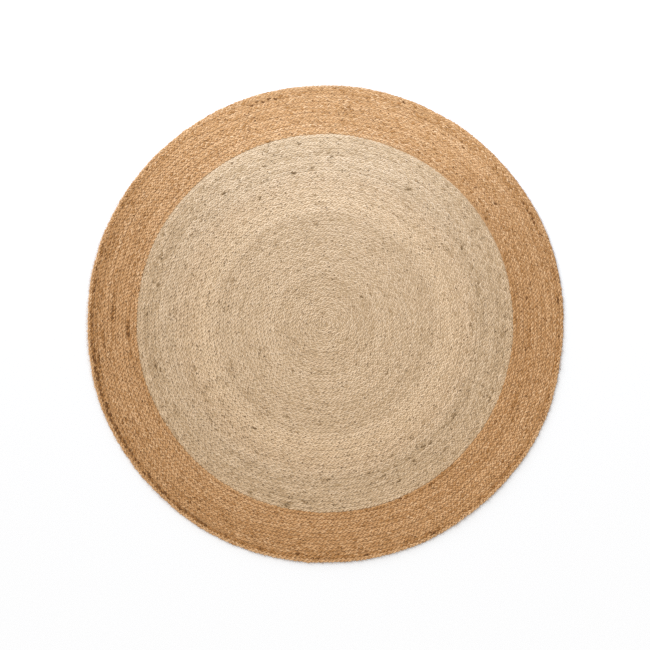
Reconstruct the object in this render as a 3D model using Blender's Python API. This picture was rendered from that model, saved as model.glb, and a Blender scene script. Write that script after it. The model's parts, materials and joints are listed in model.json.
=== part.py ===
# A round rug of braided jute, lying flat on z = 0. A three-strand braid is wound in a
# flat spiral and sewn row to row: a pale braid makes the field, and a golden-brown one
# carries the same spiral on as the border. Metres, +Z up.

import math

import bmesh
import bpy

RUG_RADIUS = 0.75
ROWS = 66  # from the middle to the rim
PITCH = RUG_RADIUS / ROWS  # width of the braid, from one row to the next

CREST_HEIGHT = 0.008  # top of a row
VALLEY_HEIGHT = 0.005  # top of the seam between two rows
RIM_HEIGHT = 0.0042  # where the outermost row is widest
RIM_INSET = 0.0025  # how far the rim's foot lies inside its widest line
SEAM_GAP = 0.0003  # between the two coils
MERGE_DISTANCE = 0.00001

# Places along the spiral are counted in turns, and places across it in rows.
FIELD_START = -0.5
FIELD_END = 52.1
FIELD_TAPER = 0.04  # turns over which the pale braid runs out and the brown one begins
RUG_END = 66.2
RUG_TAPER = 0.04
RUG_NARROWING = 0.5
RUG_END_WIDTH = 0.4  # what is left of the braid's width where its last taper begins
RUG_END_ANGLE = math.radians(10)  # from +X. The spiral runs outwards clockwise from above

# Steps in a turn. Every turn has the same steps, so that a row's outer edge and the next
# row's inner edge share their points.
FIELD_SECTORS = 50
BORDER_SECTORS = 2 * FIELD_SECTORS

# Slow waves in the rows, strongest at the rim: waves in a turn, height and phase.
WAVES = (
    (2, 0.0010, 1.6),
    (3, 0.0003, -0.8),
    (4, 0.0010, 2.9),
    (8, 0.0005, 3.3),
    (10, 0.0005, -2.5),
)

PALE_JUTE = (0.60, 0.43, 0.27, 1.0)
BROWN_JUTE = (0.53, 0.30, 0.14, 1.0)
JUTE_ROUGHNESS = 0.92
SHARP_ANGLE = math.radians(25)  # keeps each row's crest and valley crisp


def clear_scene():
    for old in list(bpy.data.objects):
        bpy.data.objects.remove(old, do_unlink=True)


def make_material(name, colour):
    material = bpy.data.materials.new(name)
    material.use_nodes = True
    shader = material.node_tree.nodes["Principled BSDF"]
    shader.inputs["Base Color"].default_value = colour
    shader.inputs["Roughness"].default_value = JUTE_ROUGHNESS
    shader.inputs["Metallic"].default_value = 0.0
    return material


def between(value, low, high):
    return min(high, max(low, value))


def place(rows, turn, height):
    """The point this many rows from the middle, where the spiral has made this turn."""
    angle = RUG_END_ANGLE + (RUG_END - turn) * math.tau
    radius = rows * PITCH
    swell = (radius / RUG_RADIUS) ** 2
    for count, size, phase in WAVES:
        radius += swell * size * math.cos(count * angle + phase)
    return radius * math.cos(angle), radius * math.sin(angle), height


def lane(turn):
    """The inner edge of the spiral's lane, in rows from the middle. It is a row wide."""
    return turn - 0.5


def field_width(turn):
    """The pale braid fills its lane until it tapers off where the brown one begins."""
    return between((FIELD_END - turn) / FIELD_TAPER, 0.0, 1.0)


def border_width(turn):
    """The brown braid narrows over its last half turn and ends in a short taper."""
    narrowed = 1.0 - (RUG_END - RUG_TAPER - turn) / RUG_NARROWING
    width = 1.0 - (1.0 - RUG_END_WIDTH) * between(narrowed, 0.0, 1.0)
    return width * between((RUG_END - turn) / RUG_TAPER, 0.0, 1.0)


def field_edges(step):
    turn = step / FIELD_SECTORS
    return max(0.0, lane(turn)), lane(turn) + field_width(turn)


def border_edges(step):
    turn = step / BORDER_SECTORS
    inner = lane(turn) + field_width(turn)
    outer = lane(turn) + border_width(turn)
    # Along the field, whose steps are twice as long, every second point lies on its chord.
    if turn < FIELD_END - FIELD_TAPER + 1.0 and step % 2 == 1:
        inner *= math.cos(math.pi / FIELD_SECTORS)
    gap = SEAM_GAP / PITCH
    return inner + gap, outer + gap


def wind(start, end, sectors, edges):
    """A strip along the spiral, raised along its middle and joined to itself turn by turn."""
    coil = bmesh.new()
    first_step = round(start * sectors)
    steps = round(end * sectors) - first_step
    bmesh.ops.create_grid(coil, x_segments=steps, y_segments=2, size=0.5)
    for vertex in coil.verts:
        step = first_step + round((vertex.co.x + 0.5) * steps)
        across = round(vertex.co.y + 0.5, 1)
        inner, outer = edges(step)
        height = VALLEY_HEIGHT
        if across == 0.5:
            height += (CREST_HEIGHT - VALLEY_HEIGHT) * min(1.0, outer - inner)
        vertex.co = place(inner + (outer - inner) * across, step / sectors, height)
    bmesh.ops.remove_doubles(coil, verts=coil.verts, dist=MERGE_DISTANCE)
    return coil


def lower_rim(coil):
    """Brings the outermost line of points down to where the last row is widest."""
    for vertex in coil.verts:
        if vertex.is_boundary and vertex.co.xy.length > RUG_RADIUS - PITCH:
            vertex.co.z = RIM_HEIGHT


def add_walls(coil):
    """Extrudes the open edges to the floor, and returns the edges of the walls' feet.
    The wall is upright along the seam between the coils and slants inwards at the rim."""
    open_edges = [edge for edge in coil.edges if edge.is_boundary]
    walls = bmesh.ops.extrude_edge_only(coil, edges=open_edges)["geom"]
    feet = [item for item in walls if isinstance(item, bmesh.types.BMVert)]
    for foot in feet:
        if foot.co.z < VALLEY_HEIGHT - MERGE_DISTANCE:
            foot.co.xy -= foot.co.xy.normalized() * RIM_INSET
        foot.co.z = 0.0
    return [edge for edge in coil.edges if edge.is_boundary]


def finish(coil, name, material, collection):
    bmesh.ops.recalc_face_normals(coil, faces=coil.faces)
    mesh = bpy.data.meshes.new(name)
    coil.to_mesh(mesh)
    coil.free()
    mesh.materials.append(material)
    mesh.shade_smooth()
    mesh.set_sharp_from_angle(angle=SHARP_ANGLE)
    finished = bpy.data.objects.new(name, mesh)
    collection.objects.link(finished)
    return finished


def make_field_coil(collection):
    coil = wind(FIELD_START, FIELD_END, FIELD_SECTORS, field_edges)
    feet = add_walls(coil)
    bmesh.ops.contextual_create(coil, geom=feet)
    return finish(coil, "field_coil", make_material("pale_jute", PALE_JUTE), collection)


def make_border_coil(collection):
    coil = wind(FIELD_END - FIELD_TAPER, RUG_END, BORDER_SECTORS, border_edges)
    lower_rim(coil)
    feet = add_walls(coil)
    bmesh.ops.bridge_loops(coil, edges=feet)
    return finish(coil, "border_coil", make_material("brown_jute", BROWN_JUTE), collection)


def main():
    clear_scene()
    collection = bpy.data.collections.new("round_jute_rug")
    bpy.context.scene.collection.children.link(collection)
    coils = [make_field_coil(collection), make_border_coil(collection)]

    # The origin is the middle of the rug's bounding box.
    corners = [corner for coil in coils for corner in coil.bound_box]
    for axis in (0, 1):
        places = [corner[axis] for corner in corners]
        for coil in coils:
            coil.location[axis] = -(min(places) + max(places)) / 2


main()
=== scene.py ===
# The looks of the round jute rug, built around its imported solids.
# Three strands of jute are plaited, and the plait is wound in a flat coil and sewn row to row.
# Pale jute makes the field, and golden brown jute carries the same coil on as the border.

import json
import math

import bpy
import numpy as np
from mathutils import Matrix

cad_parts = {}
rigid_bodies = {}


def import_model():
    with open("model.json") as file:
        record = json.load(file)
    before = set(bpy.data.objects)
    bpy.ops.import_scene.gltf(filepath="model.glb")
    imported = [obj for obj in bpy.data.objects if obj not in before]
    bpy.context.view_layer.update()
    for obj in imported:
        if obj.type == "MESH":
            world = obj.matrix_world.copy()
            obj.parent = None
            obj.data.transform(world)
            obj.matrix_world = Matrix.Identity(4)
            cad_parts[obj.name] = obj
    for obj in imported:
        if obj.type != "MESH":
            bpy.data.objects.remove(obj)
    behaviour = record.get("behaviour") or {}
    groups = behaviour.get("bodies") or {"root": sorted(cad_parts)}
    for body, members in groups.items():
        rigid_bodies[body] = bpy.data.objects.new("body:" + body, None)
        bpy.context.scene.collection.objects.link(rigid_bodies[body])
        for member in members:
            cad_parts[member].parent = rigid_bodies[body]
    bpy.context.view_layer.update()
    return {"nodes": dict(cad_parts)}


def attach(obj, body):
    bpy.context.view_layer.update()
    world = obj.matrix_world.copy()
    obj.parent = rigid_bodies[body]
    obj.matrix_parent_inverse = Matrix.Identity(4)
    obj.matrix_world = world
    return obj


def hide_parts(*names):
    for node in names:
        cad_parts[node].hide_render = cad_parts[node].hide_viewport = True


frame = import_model()
print("frame loaded:", ", ".join(sorted(frame["nodes"])))

# The coil is the solids' own. It winds outwards clockwise from above, and a place along it
# is given in turns, which are also rows from the middle.
coil = {
    "radius": 0.75,
    "rows": 66,
    "start": -0.5,
    "fieldEnd": 52.1,
    "colourChange": 0.20,  # turns over which the pale plait narrows and the brown one widens
    # part of the change still to come, and the pale plait's share of the row there
    "changeShape": ((0, 0.1, 0.9, 1), (0, 0.25, 0.75, 1)),
    "end": 66.2,
    "endTaper": 0.04,  # in turns, as the narrowing before it
    "endNarrowing": 0.5,
    "endWidth": 0.4,  # share of the width left where the last taper begins
    "endAngle": math.radians(10),
    # slow waves in the rows, strongest at the rim: waves in a turn, height and phase
    "waves": (
        (2, 0.0010, 1.6), (3, 0.0003, -0.8), (4, 0.0010, 2.9), (8, 0.0005, 3.3), (10, 0.0005, -2.5),
    ),
}
rowPitch = coil["radius"] / coil["rows"]


def turnsAt(along):  # along is in metres from the coil's middle
    return np.sqrt(np.maximum(along, 0) / (math.pi * rowPitch))


def alongAt(turns):
    return math.pi * rowPitch * turns**2


def rowShare(turns):  # how much of the row's width is left near the rug's outer end
    narrowed = 1 - (coil["end"] - coil["endTaper"] - turns) / coil["endNarrowing"]
    share = 1 - (1 - coil["endWidth"]) * np.clip(narrowed, 0, 1)
    return share * np.clip((coil["end"] - turns) / coil["endTaper"], 0, 1)


def fieldShare(turns):  # how much of the row's width the pale plait takes near its end
    left = (coil["fieldEnd"] - turns) / coil["colourChange"] + 0.5
    return np.interp(left, *coil["changeShape"])


def turnAngle(turns):
    return coil["endAngle"] + (coil["end"] - turns) * math.tau


def placeOnCoil(turns, across, height):  # across is in metres from the row's middle
    angle = turnAngle(turns)
    radius = turns * rowPitch + across
    swell = (radius / coil["radius"]) ** 2
    for count, size, phase in coil["waves"]:
        radius = radius + swell * size * np.cos(count * angle + phase)
    return np.stack([radius * np.cos(angle), radius * np.sin(angle), height], axis=-1)


# The origin is the middle of the rug's box, as in the solids.
rimTurns = np.linspace(coil["end"] - 1, coil["end"], 721)
rimLine = placeOnCoil(rimTurns, (rowShare(rimTurns) - 0.5) * rowPitch, 0 * rimTurns)
coilShift = -(rimLine.min(axis=0) + rimLine.max(axis=0)) / 2


def slowRandom(draws, length, spacing, at):  # smooth random values along the plait
    knots = draws.normal(size=int(length / spacing) + 3)
    place = np.clip(at / spacing, 0, knots.size - 1.001)
    left = place.astype(int)
    blend = place - left
    blend = blend * blend * (3 - 2 * blend)
    return knots[left] * (1 - blend) + knots[left + 1] * blend


fibreNoise = {"Scale": 1, "Detail": 2, "Roughness": 0.6}  # on a map that is already stretched
bumpStrength = 0.6


class Wire:
    # An output of a node. Python's operators on it add Math nodes.
    def __init__(self, maker, socket):
        self.maker = maker
        self.socket = socket

    def __add__(self, other):
        return self.maker.maths("ADD", self, other)

    __radd__ = __add__

    def __mul__(self, other):
        return self.maker.maths("MULTIPLY", self, other)

    __rmul__ = __mul__

    def __sub__(self, other):
        return self.maker.maths("SUBTRACT", self, other)

    def __rsub__(self, other):
        return self.maker.maths("SUBTRACT", other, self)


class MaterialMaker:
    def __init__(self, name):
        self.material = bpy.data.materials.new(name)
        self.material.use_nodes = True
        self.tree = self.material.node_tree
        self.shader = self.tree.nodes["Principled BSDF"]

    def plug(self, socket, value):
        if isinstance(value, Wire):
            self.tree.links.new(value.socket, socket)
        else:
            socket.default_value = value

    def node(self, kind, settings=None, inputs=None, output=0):
        made = self.tree.nodes.new(kind)
        for name, value in (settings or {}).items():
            setattr(made, name, value)
        for name, value in (inputs or {}).items():
            self.plug(made.inputs[name], value)
        return Wire(self, made.outputs[output])

    def maths(self, operation, *values):
        return self.node("ShaderNodeMath", {"operation": operation}, dict(enumerate(values)))

    def vectors(self, operation, *values, output=0):
        inputs = dict(enumerate(values))
        return self.node("ShaderNodeVectorMath", {"operation": operation}, inputs, output)

    def ramp(self, share, stops):  # each stop is its place and its colour
        made = self.node("ShaderNodeValToRGB", inputs={0: share})
        elements = made.socket.node.color_ramp.elements
        while len(elements) < len(stops):
            elements.new(1)
        for element, (place, colour) in zip(elements, stops):
            element.position = place
            element.color = (*colour, 1)
        return made

    def fibres(self, ribbon, perMetre, across):  # streaks that run along the u of a map
        stretched = self.vectors("MULTIPLY", ribbon, (perMetre, across, 1))
        inputs = {"Vector": stretched, **fibreNoise}
        return self.node("ShaderNodeTexNoise", {"noise_dimensions": "2D"}, inputs)

    def bump(self, height, distance):
        inputs = {"Strength": bumpStrength, "Distance": distance, "Height": height}
        return self.node("ShaderNodeBump", inputs=inputs)

    def mix(self, share, first, second):
        inputs = {0: share}
        for number, colour in ((6, first), (7, second)):
            inputs[number] = colour if isinstance(colour, Wire) else (*colour, 1)
        return self.node("ShaderNodeMix", {"data_type": "RGBA"}, inputs, output=2)

    def finish(self, **inputs):
        for name, value in inputs.items():
            self.plug(self.shader.inputs[name.replace("_", " ")], value)
        return self.material


def colourStops(colour, rows):  # each row is a stop's place and its share of each channel
    stops = []
    for place, *shares in rows:
        stops.append((place, [channel * share for channel, share in zip(colour, shares)]))
    return stops


def makeJute(name, look):
    maker = MaterialMaker(name)
    tone = maker.node("ShaderNodeAttribute", {"attribute_name": "tone"}, output="Fac")
    strandMap = maker.node("ShaderNodeUVMap", {"uv_map": "Strand"})
    fibres = maker.fibres(strandMap, look["fibresPerMetre"], look["fibresRound"])
    place = maker.node("ShaderNodeTexCoord", output="Object")
    patches = maker.node("ShaderNodeTexNoise", inputs={"Vector": place, "Scale": look["patchScale"]})
    shade = tone + (fibres - 0.5) * look["fibreContrast"] + (patches - 0.5) * look["patchContrast"]
    colour = maker.ramp(shade, colourStops(look["colour"], look["shades"]))
    fromMiddle = maker.vectors("LENGTH", place, output="Value") * (1 / coil["radius"])
    tint = maker.ramp(fromMiddle, colourStops((1, 1, 1), look["tints"]))
    return maker.finish(
        Base_Color=maker.vectors("MULTIPLY", colour, tint),
        Roughness=0.1 * fibres + look["roughness"],
        Normal=maker.bump(fibres, look["fibreRelief"]),
        Sheen_Weight=look["sheen"],
        Sheen_Roughness=0.5,
        Specular_IOR_Level=look["specular"],
    )


def addMesh(name, points, faceSets, material):
    # faceSets holds arrays of faces, each array with its own number of corners.
    mesh = bpy.data.meshes.new(name)
    corners = np.concatenate([faces.ravel() for faces in faceSets])
    sizes = np.concatenate([np.full(len(faces), faces.shape[1]) for faces in faceSets])
    mesh.vertices.add(len(points))
    mesh.vertices.foreach_set("co", points.astype(np.float32).ravel())
    mesh.loops.add(len(corners))
    mesh.loops.foreach_set("vertex_index", corners.astype(np.int32))
    mesh.polygons.add(len(sizes))
    mesh.polygons.foreach_set("loop_start", (np.cumsum(sizes) - sizes).astype(np.int32))
    mesh.update(calc_edges=True)
    mesh.shade_smooth()
    mesh.materials.append(material)
    piece = bpy.data.objects.new(name, mesh)
    bpy.context.scene.collection.objects.link(piece)
    return piece


def addMap(mesh, name, corners):  # corners holds one (u, v) for each face corner
    layer = mesh.uv_layers.new(name=name)
    layer.uv.foreach_set("vector", np.concatenate(corners).astype(np.float32).ravel())


def addTone(mesh, values):
    attribute = mesh.attributes.new("tone", "FLOAT", "POINT")
    attribute.data.foreach_set("value", values.astype(np.float32).ravel())


# The plait. Each strand swings from side to side of the row and passes over the other two
# on its way out, so its middle follows a sine across and a doubled sine in height.
plait = {
    "period": 0.0367,  # length of one whole swing
    "middle": 0.0040,
    "halfWidth": 0.0027,
    "halfHeight": 0.0020,
    "ringsPerPeriod": 8,
    "sides": 4,
    "gridStep": 0.002,  # between the points where slow changes along the row are worked out
    "periodWander": ((0.012, 1.13, 0.3), (0.007, 0.61, 2.0), (0.02, 4.7, 1.1)),
    "strandWander": ((0.02, 0.0015),),  # how far a strand's crossings run ahead or lag
    "sizeSpread": 0.10,
    "heightShare": 0.4,  # how much a strand's height follows the spread of its width
    "heightShadeTone": 0.03,  # painted light and shade: the plait's colour is paler high up and darker low down
    "startTaper": 0.8,  # turns in the middle of the rug over which the plait widens
    "leastWidth": 0.15,  # shares of the width, lift and height left at the narrowest
    "leastLift": 0.5,
    "leastHeight": 0.4,
    "rimTuck": 0.0014,  # the last turn is drawn in, more and more over its first part
    "tuckTaper": 0.2,
    "lowest": 0.0002,  # above the floor
}

fieldJute = {
    "turns": (0.3, 52.195),
    "pieces": 8,
    "seed": 15,
    "inBorder": False,
    # dark knots and streaks: degrees, row, half length, half width and depth
    "marks": (
        (258, 50.9, 0.012, 0.009, 0.50), (357, 49.3, 0.016, 0.008, 0.22),
        (333, 43.4, 0.070, 0.009, 0.10), (167, 47.6, 0.006, 0.0055, 0.55),
        (270, 43.0, 0.012, 0.007, 0.35), (128, 45.7, 0.006, 0.0055, 0.55),
        (208, 37.6, 0.012, 0.007, 0.42), (246, 50.8, 0.012, 0.007, 0.25),
        (324, 43.5, 0.014, 0.006, 0.30), (26, 11.4, 0.006, 0.0055, 0.40),
        (119, 48.3, 0.009, 0.0055, 0.28), (235, 47.5, 0.008, 0.0055, 0.30),
        (95, 43.0, 0.008, 0.0055, 0.30), (235, 31.5, 0.020, 0.008, 0.22),
        (30, 39.4, 0.018, 0.007, 0.22), (185, 23.0, 0.008, 0.0055, 0.25),
        (12, 42.6, 0.013, 0.007, 0.28), (315, 46.3, 0.005, 0.0055, 0.35),
        (158, 49.1, 0.006, 0.0055, 0.28), (96, 27.9, 0.006, 0.0055, 0.25),
        (286, 42.8, 0.006, 0.0055, 0.25), (247, 27.6, 0.004, 0.0055, 0.40),
        (58, 44.1, 0.009, 0.0055, 0.35), (199, 37.9, 0.007, 0.0055, 0.50),
        (194, 48.3, 0.007, 0.0055, 0.33), (336, 46.5, 0.008, 0.0055, 0.35),
        (346, 50.5, 0.005, 0.0055, 0.28), (303, 44.8, 0.009, 0.0055, 0.35),
        (267, 36.9, 0.005, 0.0055, 0.28), (296, 43.4, 0.005, 0.0055, 0.28),
        (195, 48.4, 0.070, 0.0055, 0.12), (177, 37.8, 0.055, 0.0055, 0.14),
        (2, 40.4, 0.040, 0.0055, 0.16), (297, 40.5, 0.012, 0.0055, 0.28),
        (133, 50.6, 0.012, 0.0055, 0.28), (101, 36.3, 0.008, 0.0055, 0.28),
        (351, 39.5, 0.025, 0.0055, 0.18),
    ),
    "swing": 0.0040,
    "rowWander": ((0.05, 0.0003), (0.17, 0.0003)),  # spacing along the row, and size
    "lift": 0.0012,  # how far a strand rises and sinks as it crosses the others
    "sideSpread": 0.0004,
    "heightSpread": 0.0004,
    "colour": (0.637, 0.467, 0.294),
    "lobeTone": (0.062, 0.068),  # in the middle and at the outer rows, as in the next line
    "darkLobes": (0.055, 0.040),  # a few lobes are much darker
    "strandTone": ((0.02, 0.034), (0.35, 0.045)),  # spacing along the strand, and size
    "rowTone": ((0.15, 0.006), (0.45, 0.010), (1.5, 0.012)),
    "specks": (0.002, 0.006),  # share of the lobes
    "speckTone": (0.12, 0.40),
    # tone of the batches of jute, by turn
    "batches": (
        (0, 0.04), (2.4, 0.015), (3.8, -0.075), (4.6, -0.085), (5.6, 0.005), (6.5, 0.03),
        (9, -0.02), (12.5, -0.06), (14.3, 0.03), (16.5, 0.05), (18, 0.01), (20.4, 0.04),
        (22, 0.0), (25.5, -0.02), (27.4, -0.065),
        (29.5, -0.05), (30.5, 0.0), (31.2, 0.045), (32.3, 0.12), (33.5, 0.115), (35.5, 0.07),
        (37.2, 0.015), (41.8, -0.03), (43.1, -0.06), (43.2, -0.16), (43.55, -0.14),
        (43.7, -0.06), (44.4, -0.075), (46.5, -0.05), (47.4, -0.12), (48.4, -0.125),
        (49.4, -0.10), (50.4, -0.09), (51.75, -0.095), (52.3, -0.10),
    ),
    # from the darkest fibre to the lightest: tone, and shares of red, green and blue
    "shades": (
        (0, 0.26, 0.20, 0.12), (0.16, 0.67, 0.61, 0.51), (0.5, 1, 1, 1), (1, 1.28, 1.36, 1.50),
    ),
    # some batches are warmer or greyer: shares of red, green and blue, by part of the radius
    "tints": (
        (0.08, 1, 1, 1.01), (0.45, 1, 1, 1.01), (0.51, 1.014, 1, 0.98), (0.60, 1.012, 1, 1),
        (0.65, 0.993, 1, 1.02), (0.77, 1.005, 1, 1),
    ),
    "patchScale": 16,
    "patchContrast": 0.12,
    "fibresPerMetre": 160,
    "fibresRound": 8,
    "fibreContrast": 0.34,
    "fibreRelief": 0.0004,
    "roughness": 0.65,
    "sheen": 0.05,
    "specular": 0.3,
}

borderJute = {
    "turns": (52.005, coil["end"] - 0.001),
    "pieces": 5,
    "seed": 23,
    "inBorder": True,
    "marks": (
        (181, 54.7, 0.035, 0.004, 0.70), (28, 63.9, 0.045, 0.004, 0.36),
        (176, 58.9, 0.070, 0.004, 0.42), (184, 61.6, 0.040, 0.004, 0.30),
        (38, 63.4, 0.040, 0.004, 0.22), (190, 63.5, 0.035, 0.004, 0.22),
        (313, 55.8, 0.030, 0.004, 0.22), (356, 56.4, 0.022, 0.004, 0.30),
        (190, 54.3, 0.055, 0.004, 0.30), (337, 56.5, 0.015, 0.004, 0.32),
        (233, 64.45, 0.200, 0.005, 0.14), (11, 64.6, 0.060, 0.004, 0.22),
        (176, 54.0, 0.060, 0.004, 0.20), (297, 64.6, 0.040, 0.004, 0.20),
    ),
    "swing": 0.0036,
    "rowWander": ((0.06, 0.0004), (0.2, 0.0007)),
    "lift": 0.0023,
    "sideSpread": 0.0005,
    "heightSpread": 0.0005,
    "colour": (0.553, 0.308, 0.130),
    "lobeTone": (0.110, 0.110),
    "darkLobes": (0.030, 0.030),
    "strandTone": ((0.02, 0.035), (0.35, 0.100)),
    "rowTone": ((0.04, 0.020), (0.3, 0.006), (0.9, 0.010)),
    "specks": (0.001, 0.001),
    "speckTone": (0.12, 0.28),
    "batches": (
        (51.9, -0.06), (52.4, -0.08), (52.6, 0.04), (52.95, 0.01), (53.1, -0.08), (53.3, 0.0),
        (53.75, 0.10), (54.0, 0.03), (55.4, 0.055), (56.1, 0.02), (56.3, -0.06), (56.58, 0.11),
        (56.8, 0.03), (57.4, 0.04), (57.58, 0.13), (57.8, 0.03), (59.0, 0.0), (60.0, 0.0),
        (60.25, 0.09), (60.5, 0.0), (61.1, 0.05), (61.5, -0.02), (62.9, -0.01), (63.05, -0.07),
        (63.2, 0.0), (63.5, -0.07), (63.7, -0.17), (63.9, -0.10), (64.1, -0.08), (64.45, -0.18),
        (64.6, -0.36), (64.75, -0.27), (64.9, -0.02), (65.35, 0.07), (65.8, 0.04), (66.2, 0.0),
    ),
    "shades": (
        (0, 0.26, 0.17, 0.06), (0.16, 0.68, 0.56, 0.35), (0.5, 1, 1, 1), (1, 1.30, 1.50, 1.90),
    ),
    "tints": ((0, 1, 1, 1),),  # all of one hue
    "patchScale": 22,
    "patchContrast": 0.08,
    "fibresPerMetre": 160,
    "fibresRound": 8,
    "fibreContrast": 0.40,
    "fibreRelief": 0.0004,
    "roughness": 0.6,
    "sheen": 0.05,
    "specular": 0.3,
}


def plaitPhase(along):
    wandered = along.copy()
    for size, length, phase in plait["periodWander"]:
        wandered += size * np.sin(math.tau * along / length + phase)
    return math.tau * wandered / plait["period"]


def sumOfRandoms(draws, changes, length, at):
    return sum(size * slowRandom(draws, length, spacing, at) for spacing, size in changes)


def fromLeast(least, share):  # rises from least to 1 with the share
    return least + (1 - least) * share


def lobeTones(jute, turns, lobes, lobeDraw, draws):
    # Most lobes are a little paler or darker than the next, some are much darker, and a few
    # are specks. All this changes slowly from the middle of the field to its outer rows.
    speckDraws = draws.random(size=(2, lobes[-1] + 1))
    darker = draws.exponential(size=lobes[-1] + 1) - 1
    outwards = (turns / coil["fieldEnd"]) ** 2
    lobeTone, darkLobes, specks = [
        middle + (outer - middle) * outwards
        for middle, outer in (jute["lobeTone"], jute["darkLobes"], jute["specks"])
    ]
    tone = 0.5 + lobeTone * lobeDraw[lobes] - darkLobes * darker[lobes]
    faint, dark = jute["speckTone"]
    return tone - (speckDraws[0][lobes] < specks) * (faint + (dark - faint) * speckDraws[1][lobes])


def markTones(jute, turns, across):  # how much the dark knots and streaks take off the tone
    tone = 0
    for degrees, row, halfLength, halfWidth, depth in jute["marks"]:
        beyond = turnAngle(turns) - math.radians(degrees) + math.pi
        apartAlong = (beyond % math.tau - math.pi) * turns * rowPitch
        apartAcross = (turns - row) * rowPitch + across
        tone += depth * np.exp(-((apartAlong / halfLength) ** 2) - (apartAcross / halfWidth) ** 2)
    return tone


def strandRings(jute, strand, grid, wander, rowTones, draws):
    # Rings of points round one strand, with the tone and the distance along of each ring.
    phases = plaitPhase(grid) + math.tau * strand / 3
    step = math.tau / plait["ringsPerPeriod"]
    first, last = math.ceil(phases[0] / step), math.floor(phases[-1] / step)
    counts = np.arange(first, last + 1)
    phase = counts * step
    along = np.interp(phase, phases, grid)
    along += sumOfRandoms(draws, plait["strandWander"], along[-1], along)
    turns = turnsAt(along)

    # each crossing over the others is one lobe, with a size and tone of its own
    ringsPerLobe = plait["ringsPerPeriod"] // 2
    lobes = counts // ringsPerLobe - counts[0] // ringsPerLobe
    sizeDraw, toneDraw, sideDraw, heightDraw = draws.normal(size=(4, lobes[-1] + 1))
    size = 1 + plait["sizeSpread"] * sizeDraw[lobes]
    tone = lobeTones(jute, turns, lobes, toneDraw, draws)
    tone += sumOfRandoms(draws, jute["strandTone"], along[-1], along)
    # the tone rises and sinks with the strand: painted shade low down, painted light high up
    tone += np.interp(along, grid, rowTones) + plait["heightShadeTone"] * np.sin(2 * phase)

    if jute["inBorder"]:
        inner, outer = fieldShare(turns), rowShare(turns)
    else:
        inner, outer = 0, fieldShare(turns)
    width = (outer - inner) * np.clip(turns / plait["startTaper"], 0, 1)
    width = np.maximum(width, plait["leastWidth"])
    across = jute["swing"] * np.sin(phase) * width
    across += (inner + outer - 1) / 2 * rowPitch + jute["sideSpread"] * sideDraw[lobes] * width
    across += np.interp(along, grid, wander)
    tucked = np.clip(turns - coil["end"] + 1, 0, plait["tuckTaper"]) / plait["tuckTaper"]
    across -= plait["rimTuck"] * tucked
    rise = jute["lift"] * np.sin(2 * phase) + jute["heightSpread"] * heightDraw[lobes]
    height = plait["middle"] + rise * fromLeast(plait["leastLift"], width)
    strandWidth = plait["halfWidth"] * size * width
    strandHeight = plait["halfHeight"] * (1 + plait["heightShare"] * (size - 1))
    strandHeight *= fromLeast(plait["leastHeight"], width)

    slope = np.gradient(across, along)
    lean = np.sqrt(1 + slope**2)
    rings = []
    for side in range(plait["sides"]):
        angle = math.tau * side / plait["sides"]
        out = strandWidth * math.cos(angle)
        ringTurns = turnsAt(along - out * slope / lean)
        ringHeight = np.maximum(height + strandHeight * math.sin(angle), plait["lowest"])
        rings.append(placeOnCoil(ringTurns, across + out / lean, ringHeight) + coilShift)
    tone -= markTones(jute, turns, across)
    return np.stack(rings, axis=1), np.clip(tone, 0, 1), along


# The baking map lays the tubes out as ribbons, one below the other.
bakeLayout = {
    "columnsToRows": 2.6,
    "margin": 0.03,  # above and below each ribbon, as a share of its row
}


def ribbonMap(walls, ends, sides):
    cells = math.ceil((walls + ends) / sides)
    columns = math.ceil(math.sqrt(cells * bakeLayout["columnsToRows"]))
    rows = math.ceil(cells / columns)
    cell, side = np.divmod(np.arange(walls + ends), sides)
    filled = 1 - 2 * bakeLayout["margin"]
    left = (cell % columns) / columns
    bottom = (cell // columns + bakeLayout["margin"] + filled * side / sides) / rows
    right, top = left + 1 / columns, bottom + filled / sides / rows
    u = np.stack([left, left, right, right], axis=-1)
    v = np.stack([bottom, top, top, bottom], axis=-1)
    corners = np.stack([u, v], axis=-1)
    return [corners[:walls].reshape(-1, 2), corners[walls:, :sides].reshape(-1, 2)]


def tubesPiece(name, tubes, material):
    # Joins tubes with closed ends into one mesh. Each tube is its rings, tones and lengths.
    sides = tubes[0][0].shape[1]
    around = np.arange(sides)
    after = (around + 1) % sides
    walls, ends, wallMap, endMap = [], [], [], []
    first = 0
    for rings, tone, along in tubes:
        lower = first + sides * np.arange(len(rings) - 1)[:, None]
        wall = [lower + around, lower + after, lower + sides + after, lower + sides + around]
        walls.append(np.stack(wall, axis=-1).reshape(-1, 4))
        u = np.stack([along[:-1], along[:-1], along[1:], along[1:]], axis=-1)[:, None, :]
        v = np.stack([around, around + 1, around + 1, around], axis=-1)[None] / sides
        wallMap.append(np.stack(np.broadcast_arrays(u, v), axis=-1).reshape(-1, 2))
        ends.append(np.stack([first + around[::-1], first + sides * (len(rings) - 1) + around]))
        u = np.broadcast_to(along[[0, -1], None], (2, sides))
        endMap.append(np.stack([u, np.full_like(u, 0.5)], axis=-1).reshape(-1, 2))
        first += sides * len(rings)
    walls, ends = np.concatenate(walls), np.concatenate(ends)

    points = np.concatenate([rings.reshape(-1, 3) for rings, tone, along in tubes])
    piece = addMesh(name, points, [walls, ends], material)
    addMap(piece.data, "Strand", wallMap + endMap)
    addMap(piece.data, "OFBake", ribbonMap(len(walls), len(ends), sides))
    addTone(piece.data, np.concatenate([np.repeat(tone, sides) for rings, tone, along in tubes]))
    triangles = 2 * len(walls) + (sides - 2) * len(ends)
    print(f"{name}: {triangles} triangles in {len(tubes)} tubes")
    return piece


def settle(piece, slot):  # takes its place in the frame, for the solid of that name
    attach(piece, "root")
    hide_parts(slot)


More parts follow.
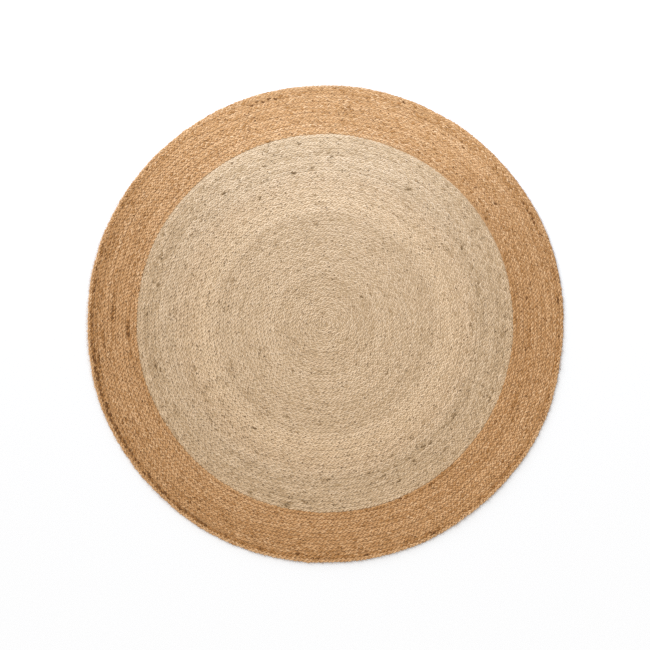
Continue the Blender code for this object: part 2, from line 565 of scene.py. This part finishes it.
def plaitPieces(prefix, slot, jute, material):
    draws = np.random.default_rng(jute["seed"])
    alongStart, alongEnd = [alongAt(turns) for turns in jute["turns"]]
    steps = int((alongEnd - alongStart) / plait["gridStep"])
    grid = np.linspace(alongStart, alongEnd, steps)
    wander = sumOfRandoms(draws, jute["rowWander"], alongEnd, grid)
    rowTones = sumOfRandoms(draws, jute["rowTone"], alongEnd, grid)
    rowTones += np.interp(turnsAt(grid), *zip(*jute["batches"]))
    strands = [strandRings(jute, strand, grid, wander, rowTones, draws) for strand in range(3)]

    made = []
    cuts = np.linspace(alongStart, alongEnd, jute["pieces"] + 1)
    for number in range(jute["pieces"]):
        tubes = []
        for rings, tone, along in strands:
            low = np.searchsorted(along, cuts[number])
            high = np.searchsorted(along, cuts[number + 1])
            part = slice(low, min(high + 1, len(along)))
            tubes.append((rings[part], tone[part], along[part]))
        piece = tubesPiece(f"{prefix}Rows{number + 1}", tubes, material)
        settle(piece, slot)
        made.append(piece)
    return made


paleMaterial = makeJute("paleJute", fieldJute)
brownMaterial = makeJute("brownJute", borderJute)
fieldRows = plaitPieces("field", "field_coil", fieldJute, paleMaterial)
borderRows = plaitPieces("border", "border_coil", borderJute, brownMaterial)

# Loose ends of jute stand up a little all over the rug, and more of them along its rim.
# Short dark bits of bark are left in the strands.
looseEnds = {
    "field": (2600, 0.5, 51.8),  # how many, and between which turns
    "border": (2000, 52.3, 66),
    "lengths": (0.006, 0.020),
    "rings": (0, 0.4, 1),
    "thickness": 0.00026,
    "profile": (1, 0.8, 0.4),  # share of the thickness at each ring
    "spread": 0.003,  # about the row's middle
    "sunk": 0.0008,  # below the tops of the strands
    "rises": (0.00044, 0.0022),  # least and most
    "turn": 0.7,  # spread of the heading
    "tones": (0.55, 0.16),  # middle and spread
}
bark = {
    "middle": (420, 1, 31),
    "field": (1150, 31, 51.6),
    "border": (1100, 52.4, 65.4),
    "lengths": (0.0032, 0.0056),
    "rings": (0, 0.5, 1),
    "thickness": 0.0030,
    "profile": (0.35, 1, 0.45),
    "spread": 0.003,
    "sunk": 0.0007,
    "rises": (0.00006, 0.0003),
    "turn": 0.5,
    "tones": (0.06, 0.07),
}
rimFuzz = {
    "count": 3000,
    "lengths": (0.003, 0.009),
    "rings": (0, 0.4, 1),
    "thickness": 0.00026,
    "profile": (1, 0.8, 0.4),
    "heights": (0.0025, 0.006),
    "rimInset": 0.0012,
    "rises": (-0.0011, 0.00176),  # middle and spread: most of it hangs down
    "turn": 0.8,
    "tones": (0.45, 0.16),
}

# A loose end is a three-sided tube. It rises or sinks less and less on its way out.
loose = {
    "levelling": 1.3,
    "lowest": 0.0005,
    "corners": ((1, 0), (-0.5, 0.87), (-0.5, -0.87)),  # across and up
}


def looseTube(kind, start, heading, rise, tone, draws):
    direction = np.array([math.cos(heading), math.sin(heading), 0])
    share = np.array(kind["rings"])
    along = share * draws.uniform(*kind["lengths"])
    middle = start + along[:, None] * direction
    middle[:, 2] += rise * share * (loose["levelling"] - share)
    middle[:, 2] = np.maximum(middle[:, 2], loose["lowest"])
    across = np.array([-direction[1], direction[0], 0])
    upward = np.array([0, 0, 1])
    corners = [sideways * across + up * upward for sideways, up in loose["corners"]]
    radius = kind["thickness"] / 2 * np.array(kind["profile"])[:, None]
    rings = np.stack([middle + radius * corner for corner in corners], axis=1)
    return rings, np.full(len(share), tone), along


def looseOnTop(kind, where, jute, draws):
    tubes = []
    count, turnStart, turnEnd = kind[where]
    surface = plait["middle"] + jute["lift"] + plait["halfHeight"] - kind["sunk"]
    for turns in np.sqrt(draws.uniform(turnStart**2, turnEnd**2, count)):
        start = placeOnCoil(turns, draws.normal(0, kind["spread"]), surface) + coilShift
        heading = math.atan2(start[1], start[0]) + math.pi / 2 + draws.normal(0, kind["turn"])
        heading += math.pi * draws.integers(2)
        rise = draws.uniform(*kind["rises"])
        tone = np.clip(draws.normal(*kind["tones"]), 0, 1)
        tubes.append(looseTube(kind, start, heading, rise, tone, draws))
    return tubes


def looseAtRim(kind, draws):
    tubes = []
    for turns in draws.uniform(coil["end"] - 1, coil["end"] - coil["endTaper"] / 2, kind["count"]):
        across = (rowShare(turns) - 0.5) * rowPitch - kind["rimInset"]
        start = placeOnCoil(turns, across, draws.uniform(*kind["heights"])) + coilShift
        heading = math.atan2(start[1], start[0]) + draws.normal(0, kind["turn"])
        rise = draws.normal(*kind["rises"])
        tone = np.clip(draws.normal(*kind["tones"]), 0, 1)
        tubes.append(looseTube(kind, start, heading, rise, tone, draws))
    return tubes


looseDraws = np.random.default_rng(47)
paleTubes = looseOnTop(looseEnds, "field", fieldJute, looseDraws)
paleTubes += looseOnTop(bark, "middle", fieldJute, looseDraws)
paleTubes += looseOnTop(bark, "field", fieldJute, looseDraws)
brownTubes = looseOnTop(looseEnds, "border", borderJute, looseDraws)
brownTubes += looseOnTop(bark, "border", borderJute, looseDraws)
brownTubes += looseAtRim(rimFuzz, looseDraws)
paleEnds = tubesPiece("paleLooseEnds", paleTubes, paleMaterial)
brownEnds = tubesPiece("brownLooseEnds", brownTubes, brownMaterial)
settle(paleEnds, "field_coil")
settle(brownEnds, "border_coil")

# Between the strands lies the plait's own fibre: one thin sheet, ribbed row by row, sewn with
# a zigzag of thread along each join. Its jute is coloured darker than the strands, as painted
# shade in the gaps between them. Nothing shows through the rug.
body = {
    "stepsPerTurn": 60,
    "crest": 0.0049,
    "valleys": (0.0046, 0.0041),  # in the middle of the rug, and towards the rim
    "valleyTurns": (20, 42),  # between which the one goes over to the other
    "thickness": 0.0012,
    "rimInset": 0.0035,
    "mergeDistance": 0.00002,
    "leastEdge": 0.00001,
    # the sheet's jute colours are darker than the strands: painted shade in the gaps
    "paleGapShade": (0.44, 0.295, 0.155),
    "brownGapShade": (0.40, 0.205, 0.080),
    "paleThread": (0.50, 0.36, 0.22),
    "brownThread": (0.52, 0.29, 0.12),
    "fibresPerMetre": 300,
    "fibresAcross": 24,
    "stitchLength": 0.012,
    "stitchReach": 0.15,  # as shares of the row's width
    "threadWidth": 0.05,
    "relief": 0.0005,
    "roughness": 0.8,
}


def makeBody():
    first = round(coil["start"] * body["stepsPerTurn"])
    steps = round(coil["end"] * body["stepsPerTurn"]) - first
    bpy.ops.object.select_all(action="DESELECT")
    bpy.ops.mesh.primitive_grid_add(x_subdivisions=steps, y_subdivisions=2, size=2)
    sheet = bpy.context.object
    sheet.name = sheet.data.name = "rugBody"
    mesh = sheet.data

    flat = np.empty(len(mesh.vertices) * 3, np.float32)
    mesh.vertices.foreach_get("co", flat)
    flat = flat.reshape(-1, 3)
    turns = (first + np.round((flat[:, 0] + 1) / 2 * steps)) / body["stepsPerTurn"]
    side = (flat[:, 1] + 1) / 2  # 0 at the row's inner edge, 1 at its outer edge
    inner = np.maximum(turns - 0.5, 0)
    width = turns - 0.5 + rowShare(turns) - inner
    across = (inner + width * side - turns) * rowPitch
    atRim = (side > 0.9) & (turns > coil["end"] - 1)
    across -= body["rimInset"] * atRim
    # the valley's height goes by the join's own place, so that both its rows agree
    valley = np.interp(turns - 0.5 + side, body["valleyTurns"], body["valleys"])
    rise = np.where(np.abs(side - 0.5) < 0.1, body["crest"], valley)
    places = placeOnCoil(turns, across, rise) + coilShift
    mesh.vertices.foreach_set("co", places.astype(np.float32).ravel())

    corners = np.empty(len(mesh.loops), np.int32)
    mesh.loops.foreach_get("vertex_index", corners)
    mesh.uv_layers[0].name = "Row"
    rowMap = np.stack([np.sign(turns) * alongAt(turns), side], axis=-1)[corners]
    mesh.uv_layers[0].uv.foreach_set("vector", rowMap.astype(np.float32).ravel())
    brown = mesh.attributes.new("brown", "FLOAT", "POINT")
    change = np.clip(side + 1 - 2 * fieldShare(turns), 0, 1)
    brown.data.foreach_set("value", change.astype(np.float32))

    bpy.ops.object.mode_set(mode="EDIT")
    bpy.ops.mesh.select_all(action="SELECT")
    bpy.ops.mesh.remove_doubles(threshold=body["mergeDistance"])
    bpy.ops.mesh.dissolve_degenerate(threshold=body["leastEdge"])
    bpy.ops.mesh.normals_make_consistent(inside=False)
    bpy.ops.object.mode_set(mode="OBJECT")
    if mesh.polygons[len(mesh.polygons) // 2].normal.z < 0:
        mesh.flip_normals()
    solidify = sheet.modifiers.new("thickness", "SOLIDIFY")
    solidify.thickness = body["thickness"]
    solidify.offset = -1
    bpy.ops.object.modifier_apply(modifier=solidify.name)
    mesh.shade_smooth()
    return sheet


def makeBodyMaterial():
    maker = MaterialMaker("rowFibreGapShade")
    brown = maker.node("ShaderNodeAttribute", {"attribute_name": "brown"}, output="Fac")
    rowMap = maker.node("ShaderNodeUVMap", {"uv_map": "Row"})
    along = maker.node("ShaderNodeSeparateXYZ", inputs={0: rowMap}, output="X")
    across = maker.node("ShaderNodeSeparateXYZ", inputs={0: rowMap}, output="Y")
    fibres = maker.fibres(rowMap, body["fibresPerMetre"], body["fibresAcross"])
    fromJoin = 0.5 - maker.maths("ABSOLUTE", across - 0.5)
    halfStitch = body["stitchLength"] / 2
    zigzag = maker.maths("PINGPONG", along, halfStitch) * (body["stitchReach"] / halfStitch)
    apart = maker.maths("ABSOLUTE", fromJoin - zigzag)
    thread = maker.maths("LESS_THAN", apart, body["threadWidth"])
    # the sheet's jute colour is painted shade for the gaps between the strands
    jute = maker.mix(brown, body["paleGapShade"], body["brownGapShade"])
    threads = maker.mix(brown, body["paleThread"], body["brownThread"])
    return maker.finish(
        Base_Color=maker.mix(thread, jute, threads),
        Roughness=0.1 * fibres + body["roughness"],
        Normal=maker.bump(fibres * 0.5 + thread, body["relief"]),
    )


rugBody = makeBody()
rugBody.data.materials.append(makeBodyMaterial())
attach(rugBody, "root")
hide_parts("field_coil", "border_coil")
print("rug body:", len(rugBody.data.polygons), "faces")

# The studio: a pale floor, even light from all round, a large soft light far off behind the
# left shoulder of the picture, and a long lamp near the rug's far edge.
studio = {
    "floorSize": 30,
    "floorColour": (0.885, 0.885, 0.885, 1),
    "floorRoughness": 0.9,
    "evenLight": 0.76,
    "softLight": 2.25,
    "softLightTurn": (math.radians(-61), 0, math.radians(42)),
    "softLightAngle": math.radians(50),
    "lampPlace": (0, 0.68, 0.34),
    "lampAim": (0, 0.68, 0),
    "lampSize": (2.4, 0.1),
    "lampPower": 5.7,
    "lampColour": (0.53, 0.68, 0.92),
    "cameraHeight": 6.0,
    "viewWidth": 2.0385,  # metres across the picture, at the rug
    "cameraPlace": (-0.0004, -0.0032),
}

bpy.ops.object.select_all(action="DESELECT")
bpy.ops.mesh.primitive_plane_add(size=studio["floorSize"])
floor = bpy.context.object
floor.name = "floor"
floorPaint = {"Base_Color": studio["floorColour"], "Roughness": studio["floorRoughness"]}
floor.data.materials.append(MaterialMaker("floorPaint").finish(**floorPaint))

world = bpy.data.worlds.new("studio")
world.use_nodes = True
background = world.node_tree.nodes["Background"]
background.inputs["Color"].default_value = (1, 1, 1, 1)
background.inputs["Strength"].default_value = studio["evenLight"]
bpy.context.scene.world = world

bpy.ops.object.light_add(type="SUN", location=(0, 0, 4), rotation=studio["softLightTurn"])
softLight = bpy.context.object
softLight.data.energy = studio["softLight"]
softLight.data.angle = studio["softLightAngle"]

bpy.ops.object.light_add(type="AREA", location=studio["lampPlace"])
lamp = bpy.context.object
lamp.data.shape = "RECTANGLE"
lamp.data.size, lamp.data.size_y = studio["lampSize"]
lamp.data.energy = studio["lampPower"]
lamp.data.color = studio["lampColour"]
aim = [to - start for to, start in zip(studio["lampAim"], studio["lampPlace"])]
lamp.rotation_euler = (math.atan2(aim[1], -aim[2]), 0, 0)
lamp.visible_camera = False

bpy.ops.object.camera_add(location=(*studio["cameraPlace"], studio["cameraHeight"]))
camera = bpy.context.object
camera.data.lens = camera.data.sensor_width * studio["cameraHeight"] / studio["viewWidth"]
camera.data.clip_end = 100
bpy.context.scene.camera = camera
bpy.context.scene.view_settings.view_transform = "Standard"
bpy.context.scene.cycles.use_denoising = False  # it would smooth the plait away
print("studio: floor, two lights and camera")
